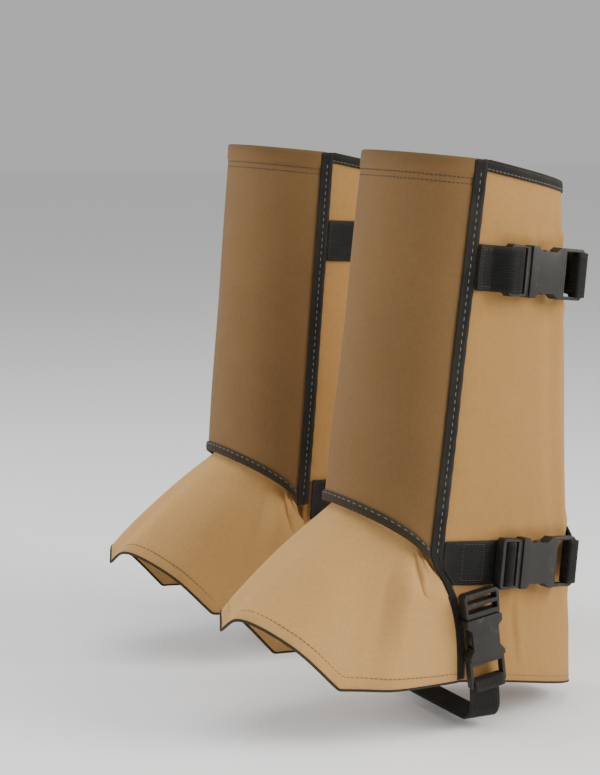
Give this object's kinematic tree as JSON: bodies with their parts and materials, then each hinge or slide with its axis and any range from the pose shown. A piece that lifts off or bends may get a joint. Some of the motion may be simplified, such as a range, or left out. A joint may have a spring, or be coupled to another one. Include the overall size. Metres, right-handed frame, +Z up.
{
  "type": "pair of gaiters",
  "caption": "Pair of hard-shell leg gaiters with a hinged instep cover, calf wrap, webbing straps with side-release buckles and an under-boot stirrup strap.",
  "frame": {"origin": "on the floor, midway between the wearer's two leg lines", "axes": "+Z up, -Y toward the toes, +X toward the wearer's left"},
  "size_m": [0.3826, 0.3004, 0.421],
  "materials": {
    "shin_cloth": "coated woven cloth, matte, darker from wear",
    "calf_cloth": "coated woven cloth, matte",
    "instep_cloth": "coated woven cloth, matte, the lightest",
    "insert_sheet": "clear sheet between the cloths",
    "lining_cloth": "plain woven lining",
    "binding_tape": "ribbed woven tape",
    "webbing": "ribbed flat webbing",
    "buckle_plastic": "moulded acetal, matte"
  },
  "bodies": {
    "gaiters": {"left_shin_cover": "shin_cloth", "left_shin_stiffener": "insert_sheet", "left_shin_lining": "lining_cloth", "left_outer_calf_panel": "calf_cloth", "left_inner_calf_panel": "calf_cloth", "left_outer_calf_binding": "binding_tape", "left_inner_calf_binding": "binding_tape", "left_outer_seam_binding": "binding_tape", "left_inner_seam_binding": "binding_tape", "left_instep_seam_binding": "binding_tape", "left_upper_strap_front": "webbing", "left_upper_strap_rear": "webbing", "left_lower_strap_front": "webbing", "left_lower_strap_rear": "webbing", "left_stirrup_hanger": "webbing", "left_stirrup_sole_strap": "webbing", "left_upper_buckle_ladder": "buckle_plastic", "left_lower_buckle_ladder": "buckle_plastic", "left_stirrup_buckle_socket": "buckle_plastic", "right_shin_cover": "shin_cloth", "right_shin_stiffener": "insert_sheet", "right_shin_lining": "lining_cloth", "right_outer_calf_panel": "calf_cloth", "right_inner_calf_panel": "calf_cloth", "right_outer_calf_binding": "binding_tape", "right_inner_calf_binding": "binding_tape", "right_outer_seam_binding": "binding_tape", "right_inner_seam_binding": "binding_tape", "right_instep_seam_binding": "binding_tape", "right_upper_strap_front": "webbing", "right_upper_strap_rear": "webbing", "right_lower_strap_front": "webbing", "right_lower_strap_rear": "webbing", "right_stirrup_hanger": "webbing", "right_stirrup_sole_strap": "webbing", "right_upper_buckle_ladder": "buckle_plastic", "right_lower_buckle_ladder": "buckle_plastic", "right_stirrup_buckle_socket": "buckle_plastic"},
    "left_instep": {"left_instep_cover": "instep_cloth", "left_instep_stiffener": "insert_sheet"},
    "left_upper_socket": {"left_upper_buckle_socket": "buckle_plastic"},
    "left_upper_arm_a": {"left_upper_latch_arm_a": "buckle_plastic"},
    "left_upper_arm_b": {"left_upper_latch_arm_b": "buckle_plastic"},
    "left_lower_socket": {"left_lower_buckle_socket": "buckle_plastic"},
    "left_lower_arm_a": {"left_lower_latch_arm_a": "buckle_plastic"},
    "left_lower_arm_b": {"left_lower_latch_arm_b": "buckle_plastic"},
    "left_stirrup_ladder": {"left_stirrup_buckle_ladder": "buckle_plastic"},
    "left_stirrup_arm_a": {"left_stirrup_latch_arm_a": "buckle_plastic"},
    "left_stirrup_arm_b": {"left_stirrup_latch_arm_b": "buckle_plastic"},
    "right_instep": {"right_instep_cover": "instep_cloth", "right_instep_stiffener": "insert_sheet"},
    "right_upper_socket": {"right_upper_buckle_socket": "buckle_plastic"},
    "right_upper_arm_a": {"right_upper_latch_arm_a": "buckle_plastic"},
    "right_upper_arm_b": {"right_upper_latch_arm_b": "buckle_plastic"},
    "right_lower_socket": {"right_lower_buckle_socket": "buckle_plastic"},
    "right_lower_arm_a": {"right_lower_latch_arm_a": "buckle_plastic"},
    "right_lower_arm_b": {"right_lower_latch_arm_b": "buckle_plastic"},
    "right_stirrup_ladder": {"right_stirrup_buckle_ladder": "buckle_plastic"},
    "right_stirrup_arm_a": {"right_stirrup_latch_arm_a": "buckle_plastic"},
    "right_stirrup_arm_b": {"right_stirrup_latch_arm_b": "buckle_plastic"}
  },
  "joints": [
    {"name": "left_instep_lift", "type": "hinge", "parent": "gaiters", "child": "left_instep", "pos_m": [0.1175, -0.0165, 0.14], "axis": [-1, 0, 0], "range_deg": [0, 10]},
    {"name": "left_upper_buckle_slide", "type": "slide", "parent": "gaiters", "child": "left_upper_socket", "axis": [-0.167, 0.9804, -0.1045], "range_m": [0, 0.022], "deforming": ["left_upper_strap_rear"]},
    {"name": "left_upper_arm_a_bend", "type": "hinge", "parent": "gaiters", "child": "left_upper_arm_a", "pos_m": [0.18179, 0.06671, 0.35502], "axis": [-0.9858, -0.1679, 0], "range_deg": [0, 20]},
    {"name": "left_upper_arm_b_bend", "type": "hinge", "parent": "gaiters", "child": "left_upper_arm_b", "pos_m": [0.18223, 0.0641, 0.32976], "axis": [0.9858, 0.1679, 0], "range_deg": [0, 20]},
    {"name": "left_lower_buckle_slide", "type": "slide", "parent": "gaiters", "child": "left_lower_socket", "axis": [-0.1548, 0.9824, -0.1045], "range_m": [0, 0.022], "deforming": ["left_lower_strap_rear"]},
    {"name": "left_lower_arm_a_bend", "type": "hinge", "parent": "gaiters", "child": "left_lower_arm_a", "pos_m": [0.18065, 0.06412, 0.13851], "axis": [-0.9878, -0.1556, 0], "range_deg": [0, 20]},
    {"name": "left_lower_arm_b_bend", "type": "hinge", "parent": "gaiters", "child": "left_lower_arm_b", "pos_m": [0.18106, 0.0615, 0.11325], "axis": [0.9878, 0.1556, 0], "range_deg": [0, 20]},
    {"name": "left_stirrup_buckle_slide", "type": "slide", "parent": "gaiters", "child": "left_stirrup_ladder", "axis": [0.0077, -0.1286, 0.9917], "range_m": [0, 0.022]},
    {"name": "left_stirrup_arm_a_bend", "type": "hinge", "parent": "left_stirrup_ladder", "child": "left_stirrup_arm_a", "pos_m": [0.18478, 0.03627, 0.09109], "axis": [-0.9982, -0.0595, 0], "range_deg": [0, 20]},
    {"name": "left_stirrup_arm_b_bend", "type": "hinge", "parent": "left_stirrup_ladder", "child": "left_stirrup_arm_b", "pos_m": [0.18586, 0.01806, 0.08872], "axis": [0.9982, 0.0595, 0], "range_deg": [0, 20]},
    {"name": "right_instep_lift", "type": "hinge", "parent": "gaiters", "child": "right_instep", "pos_m": [-0.1175, -0.0115, 0.14], "axis": [-1, 0, 0], "range_deg": [0, 10]},
    {"name": "right_upper_buckle_slide", "type": "slide", "parent": "gaiters", "child": "right_upper_socket", "axis": [0.1736, 0.9792, -0.1045], "range_m": [0, 0.022], "deforming": ["right_upper_strap_rear"]},
    {"name": "right_upper_arm_a_bend", "type": "hinge", "parent": "gaiters", "child": "right_upper_arm_a", "pos_m": [-0.18138, 0.07176, 0.35502], "axis": [-0.9846, 0.1746, 0], "range_deg": [0, 20]},
    {"name": "right_upper_arm_b_bend", "type": "hinge", "parent": "gaiters", "child": "right_upper_arm_b", "pos_m": [-0.18185, 0.06915, 0.32976], "axis": [0.9846, -0.1746, 0], "range_deg": [0, 20]},
    {"name": "right_lower_buckle_slide", "type": "slide", "parent": "gaiters", "child": "right_lower_socket", "axis": [0.15, 0.9832, -0.1045], "range_m": [0, 0.022], "deforming": ["right_lower_strap_rear"]},
    {"name": "right_lower_arm_a_bend", "type": "hinge", "parent": "gaiters", "child": "right_lower_arm_a", "pos_m": [-0.18108, 0.06908, 0.13851], "axis": [-0.9886, 0.1508, 0], "range_deg": [0, 20]},
    {"name": "right_lower_arm_b_bend", "type": "hinge", "parent": "gaiters", "child": "right_lower_arm_b", "pos_m": [-0.18148, 0.06646, 0.11325], "axis": [0.9886, -0.1508, 0], "range_deg": [0, 20]},
    {"name": "right_stirrup_buckle_slide", "type": "slide", "parent": "gaiters", "child": "right_stirrup_ladder", "axis": [-0.0066, -0.1286, 0.9917], "range_m": [0, 0.022]},
    {"name": "right_stirrup_arm_a_bend", "type": "hinge", "parent": "right_stirrup_ladder", "child": "right_stirrup_arm_a", "pos_m": [-0.18513, 0.0412, 0.09109], "axis": [-0.9987, 0.0511, 0], "range_deg": [0, 20]},
    {"name": "right_stirrup_arm_b_bend", "type": "hinge", "parent": "right_stirrup_ladder", "child": "right_stirrup_arm_b", "pos_m": [-0.18606, 0.02298, 0.08872], "axis": [0.9987, -0.0511, 0], "range_deg": [0, 20]}
  ],
  "couplings": [
    {"joint": "left_upper_arm_a_bend", "follows": "left_upper_buckle_slide", "rad_per_m": 15.867},
    {"joint": "left_upper_arm_b_bend", "follows": "left_upper_buckle_slide", "rad_per_m": 15.867},
    {"joint": "left_lower_arm_a_bend", "follows": "left_lower_buckle_slide", "rad_per_m": 15.867},
    {"joint": "left_lower_arm_b_bend", "follows": "left_lower_buckle_slide", "rad_per_m": 15.867},
    {"joint": "left_stirrup_arm_a_bend", "follows": "left_stirrup_buckle_slide", "rad_per_m": 15.867},
    {"joint": "left_stirrup_arm_b_bend", "follows": "left_stirrup_buckle_slide", "rad_per_m": 15.867},
    {"joint": "right_upper_arm_a_bend", "follows": "right_upper_buckle_slide", "rad_per_m": 15.867},
    {"joint": "right_upper_arm_b_bend", "follows": "right_upper_buckle_slide", "rad_per_m": 15.867},
    {"joint": "right_lower_arm_a_bend", "follows": "right_lower_buckle_slide", "rad_per_m": 15.867},
    {"joint": "right_lower_arm_b_bend", "follows": "right_lower_buckle_slide", "rad_per_m": 15.867},
    {"joint": "right_stirrup_arm_a_bend", "follows": "right_stirrup_buckle_slide", "rad_per_m": 15.867},
    {"joint": "right_stirrup_arm_b_bend", "follows": "right_stirrup_buckle_slide", "rad_per_m": 15.867}
  ]
}
